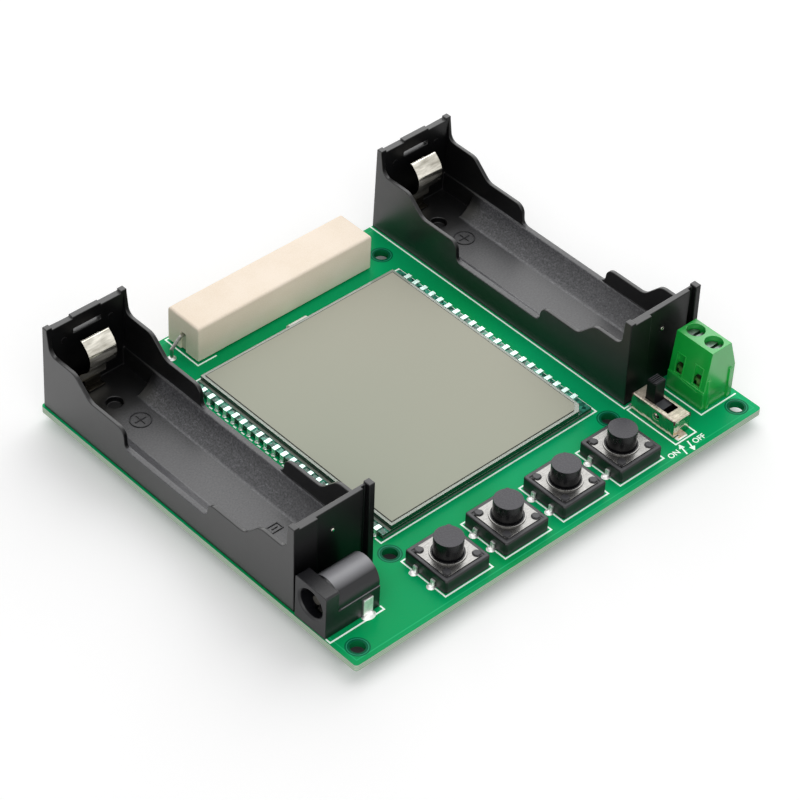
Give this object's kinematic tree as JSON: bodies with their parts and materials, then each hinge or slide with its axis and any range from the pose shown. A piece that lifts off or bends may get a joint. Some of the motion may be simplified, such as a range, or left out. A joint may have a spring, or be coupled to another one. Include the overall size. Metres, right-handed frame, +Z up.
{
  "type": "battery capacity tester",
  "caption": "Open circuit board with cylindrical cell holders, a segment display, a load resistor, push buttons, a slide switch, a power jack and a screw terminal.",
  "frame": {"origin": "on the table, under the middle of the board", "axes": "+X along the button row to the right, +Y from the buttons to the back, +Z up"},
  "size_m": [0.1136, 0.0968, 0.0255],
  "materials": {
    "pcb_green": "solder mask over glass fibre laminate",
    "holder_black": "moulded, slightly glossy",
    "contact_nickel": "nickel-plated spring steel",
    "display_glass": "float glass",
    "display_film": "polarising film, satin",
    "display_crystal": "liquid crystal cell, grey-green",
    "display_seal": "printed epoxy",
    "display_reflector": "satin reflector film",
    "tinned_wire": "tinned",
    "ceramic_cream": "unglazed ceramic",
    "cement_grey": "rough cement",
    "button_black": "moulded, satin",
    "button_cover": "nickel-plated sheet",
    "switch_nickel": "nickel-plated folded sheet",
    "switch_base": "phenolic board",
    "slider_black": "moulded, satin",
    "jack_black": "moulded, satin",
    "terminal_green": "moulded polyamide",
    "screw_steel": "zinc-plated",
    "bar_brass": "tinned brass",
    "chip_black": "moulded epoxy",
    "chip_part": "thick-film chip parts"
  },
  "bodies": {
    "board": {"circuit_board": "pcb_green", "display_front_glass": "display_glass", "display_rear_glass": "display_glass", "display_polariser": "display_film", "display_reflector": "display_reflector", "display_seal": "display_seal", "display_fill_plug": "display_seal", "display_liquid_crystal": "display_crystal", "display_pins": "tinned_wire", "resistor_case": "ceramic_cream", "resistor_cement": "cement_grey", "resistor_leads": "tinned_wire", "button_domes": "contact_nickel", "button_tails": "tinned_wire", "switch_shell": "switch_nickel", "switch_base": "switch_base", "switch_tails": "tinned_wire", "jack_housing": "jack_black", "jack_centre_pin": "contact_nickel", "jack_side_lug": "tinned_wire", "jack_spring_foot": "contact_nickel", "terminal_housing": "terminal_green", "terminal_current_bars": "bar_brass", "controller_chip": "chip_black", "display_driver_chip": "chip_black", "load_transistor": "chip_black", "voltage_regulator": "chip_black", "underside_leads": "tinned_wire", "chip_resistors": "chip_part", "left_holder_body": "holder_black", "left_front_contact_foot": "contact_nickel", "left_back_contact_foot": "contact_nickel", "right_holder_body": "holder_black", "right_front_contact_foot": "contact_nickel", "right_back_contact_foot": "contact_nickel", "button_1_base": "button_black", "button_1_cover": "button_cover", "button_2_base": "button_black", "button_2_cover": "button_cover", "button_3_base": "button_black", "button_3_cover": "button_cover", "button_4_base": "button_black", "button_4_cover": "button_cover"},
    "button_1": {"button_1_plunger": "button_black"},
    "button_2": {"button_2_plunger": "button_black"},
    "button_3": {"button_3_plunger": "button_black"},
    "button_4": {"button_4_plunger": "button_black"},
    "switch_knob": {"switch_slider": "slider_black"},
    "screw_1": {"terminal_screw_1": "screw_steel"},
    "clamp_1": {"terminal_clamp_1": "screw_steel"},
    "screw_2": {"terminal_screw_2": "screw_steel"},
    "clamp_2": {"terminal_clamp_2": "screw_steel"},
    "left_front_leaf": {"left_front_contact_leaf": "contact_nickel"},
    "left_back_leaf": {"left_back_contact_leaf": "contact_nickel"},
    "right_front_leaf": {"right_front_contact_leaf": "contact_nickel"},
    "right_back_leaf": {"right_back_contact_leaf": "contact_nickel"},
    "sleeve_spring": {"jack_sleeve_spring": "contact_nickel"}
  },
  "joints": [
    {"name": "button_1_press", "type": "slide", "parent": "board", "child": "button_1", "axis": [0, 0, -1], "range_m": [0, 0.0003], "stiffness_N_per_m": 4000, "springref_m": -0.0002},
    {"name": "button_2_press", "type": "slide", "parent": "board", "child": "button_2", "axis": [0, 0, -1], "range_m": [0, 0.0003], "stiffness_N_per_m": 4000, "springref_m": -0.0002},
    {"name": "button_3_press", "type": "slide", "parent": "board", "child": "button_3", "axis": [0, 0, -1], "range_m": [0, 0.0003], "stiffness_N_per_m": 4000, "springref_m": -0.0002},
    {"name": "button_4_press", "type": "slide", "parent": "board", "child": "button_4", "axis": [0, 0, -1], "range_m": [0, 0.0003], "stiffness_N_per_m": 4000, "springref_m": -0.0002},
    {"name": "switch_slide", "type": "slide", "parent": "board", "child": "switch_knob", "axis": [0, -1, 0], "range_m": [0, 0.004]},
    {"name": "screw_1_turn", "type": "hinge", "parent": "board", "child": "screw_1", "pos_m": [0.0507, -0.03836, 0.013], "axis": [0, 0, -1], "range_deg": [0, 1728]},
    {"name": "clamp_1_lift", "type": "slide", "parent": "board", "child": "clamp_1", "axis": [0, 0, 1], "range_m": [0, 0.0024]},
    {"name": "screw_2_turn", "type": "hinge", "parent": "board", "child": "screw_2", "pos_m": [0.0507, -0.03328, 0.013], "axis": [0, 0, -1], "range_deg": [0, 1728]},
    {"name": "clamp_2_lift", "type": "slide", "parent": "board", "child": "clamp_2", "axis": [0, 0, 1], "range_m": [0, 0.0024]},
    {"name": "left_front_leaf_flex", "type": "hinge", "parent": "board", "child": "left_front_leaf", "pos_m": [-0.04605, -0.02665, 0.00815], "axis": [1, 0, 0], "range_deg": [0, 6], "stiffness_Nm_per_rad": 0.2, "springref_deg": -1.15},
    {"name": "left_back_leaf_flex", "type": "hinge", "parent": "board", "child": "left_back_leaf", "pos_m": [-0.04605, 0.04485, 0.00815], "axis": [-1, 0, 0], "range_deg": [0, 6], "stiffness_Nm_per_rad": 0.2, "springref_deg": -1.15},
    {"name": "right_front_leaf_flex", "type": "hinge", "parent": "board", "child": "right_front_leaf", "pos_m": [0.04555, -0.0261, 0.00815], "axis": [1, 0, 0], "range_deg": [0, 6], "stiffness_Nm_per_rad": 0.2, "springref_deg": -1.15},
    {"name": "right_back_leaf_flex", "type": "hinge", "parent": "board", "child": "right_back_leaf", "pos_m": [0.04555, 0.0454, 0.00815], "axis": [-1, 0, 0], "range_deg": [0, 6], "stiffness_Nm_per_rad": 0.2, "springref_deg": -1.15},
    {"name": "sleeve_spring_flex", "type": "hinge", "parent": "board", "child": "sleeve_spring", "pos_m": [-0.0461, -0.03495, 0.0057], "axis": [0, -1, 0], "range_deg": [0, 4], "stiffness_Nm_per_rad": 0.05, "springref_deg": -1.15}
  ],
  "couplings": [
    {"joint": "screw_1_turn", "follows": "clamp_1_lift", "rad_per_m": 12566},
    {"joint": "screw_2_turn", "follows": "clamp_2_lift", "rad_per_m": 12566}
  ]
}
